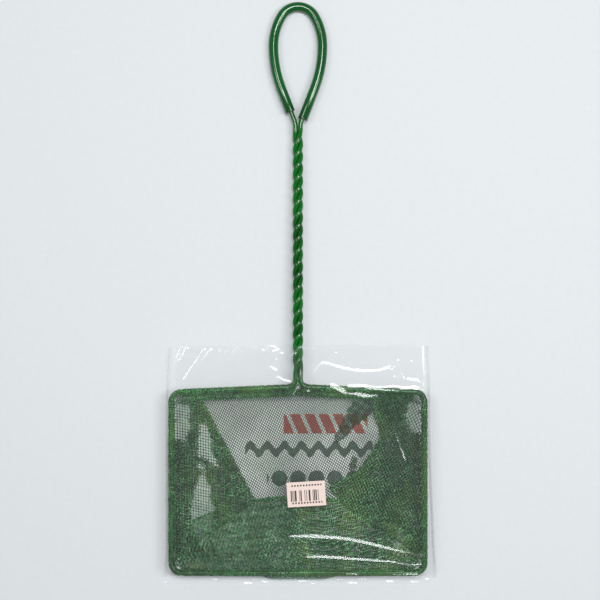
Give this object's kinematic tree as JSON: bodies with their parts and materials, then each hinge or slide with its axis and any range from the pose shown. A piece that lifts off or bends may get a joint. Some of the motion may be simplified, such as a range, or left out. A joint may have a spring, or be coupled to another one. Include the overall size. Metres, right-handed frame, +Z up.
{
  "type": "aquarium fish net",
  "caption": "Rectangular fine-mesh aquarium net on a plastic-coated wire head with a twisted wire handle and hanging loop, in a slide-off clear film sleeve.",
  "frame": {"origin": "under the middle of the net head, on the plane that the sleeve rests on", "axes": "+X across the head, +Y up the handle towards the hanging loop, +Z up out of the net's mouth"},
  "size_m": [0.1596, 0.3457, 0.0137],
  "materials": {
    "steel_core": "drawn wire, bright",
    "green_pvc": "glossy, even",
    "grip_pvc": "glossy, slightly translucent",
    "green_hem": "folded fine netting",
    "green_netting": "fine knitted netting",
    "folded_netting": "several layers of fine netting",
    "clear_film": "clear, glossy, creased",
    "white_print": "printed ink",
    "label_paper": "matt paper"
  },
  "bodies": {
    "net": {"frame_core": "steel_core", "frame_coat": "green_pvc", "neck_coat_left": "green_pvc", "neck_coat_right": "green_pvc", "handle_core_a": "steel_core", "handle_core_b": "steel_core", "handle_core_c": "steel_core", "handle_coat_a": "green_pvc", "handle_coat_b": "green_pvc", "handle_coat_c": "green_pvc", "throat_coat_left": "green_pvc", "throat_coat_right": "green_pvc", "loop_core": "steel_core", "loop_coat": "green_pvc", "grip_tube": "grip_pvc", "hem_top_left": "green_hem", "hem_top_right": "green_hem", "hem_left": "green_hem", "hem_right": "green_hem", "hem_bottom": "green_hem", "net_front_wall": "green_netting", "net_back_wall": "green_netting", "net_gusset_left": "folded_netting", "net_gusset_right": "folded_netting", "net_band_top_left": "green_netting", "net_band_top_right": "green_netting", "net_band_bottom": "green_netting", "net_bottom_seam": "green_hem"},
    "sleeve": {"sleeve_front_film": "clear_film", "sleeve_back_film": "clear_film", "sleeve_fold_left": "clear_film", "sleeve_fold_right": "clear_film", "sleeve_foot_seal": "clear_film", "sleeve_print": "white_print", "price_label": "label_paper"}
  },
  "joints": [
    {"name": "sleeve_slide", "type": "slide", "parent": "net", "child": "sleeve", "axis": [0, -1, 0], "range_m": [0, 0.15]}
  ]
}
